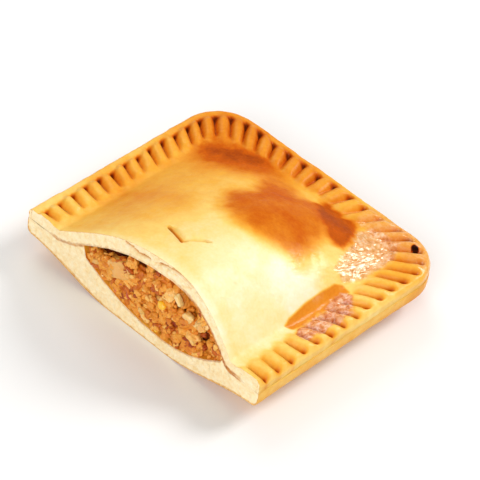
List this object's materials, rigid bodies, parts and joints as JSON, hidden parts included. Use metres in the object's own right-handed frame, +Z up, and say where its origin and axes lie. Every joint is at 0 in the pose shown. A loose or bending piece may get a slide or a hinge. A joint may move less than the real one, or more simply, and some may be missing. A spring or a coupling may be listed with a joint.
{
  "type": "tuna empanada half",
  "caption": "Half of a baked rectangular tuna pie, cut across, with a fork-crimped border, a domed lid and flaked filling at the cut.",
  "frame": {"origin": "on the ground under the middle of the half, at the centre of its bounding box's bottom", "axes": "+X along the cut, +Y away from the cut face towards the closed end, +Z up"},
  "size_m": [0.095, 0.0829, 0.0334],
  "materials": {
    "crust": "baked golden crust with a thin egg glaze, browned along the crimped border",
    "dough": "matte baked dough, cream where it is cut",
    "filling": "moist flaked tuna in a tomato and onion sofrito"
  },
  "bodies": {
    "root": {"pastry_lid": "crust", "pastry_base": "dough", "tuna_filling": "filling"}
  },
  "joints": []
}
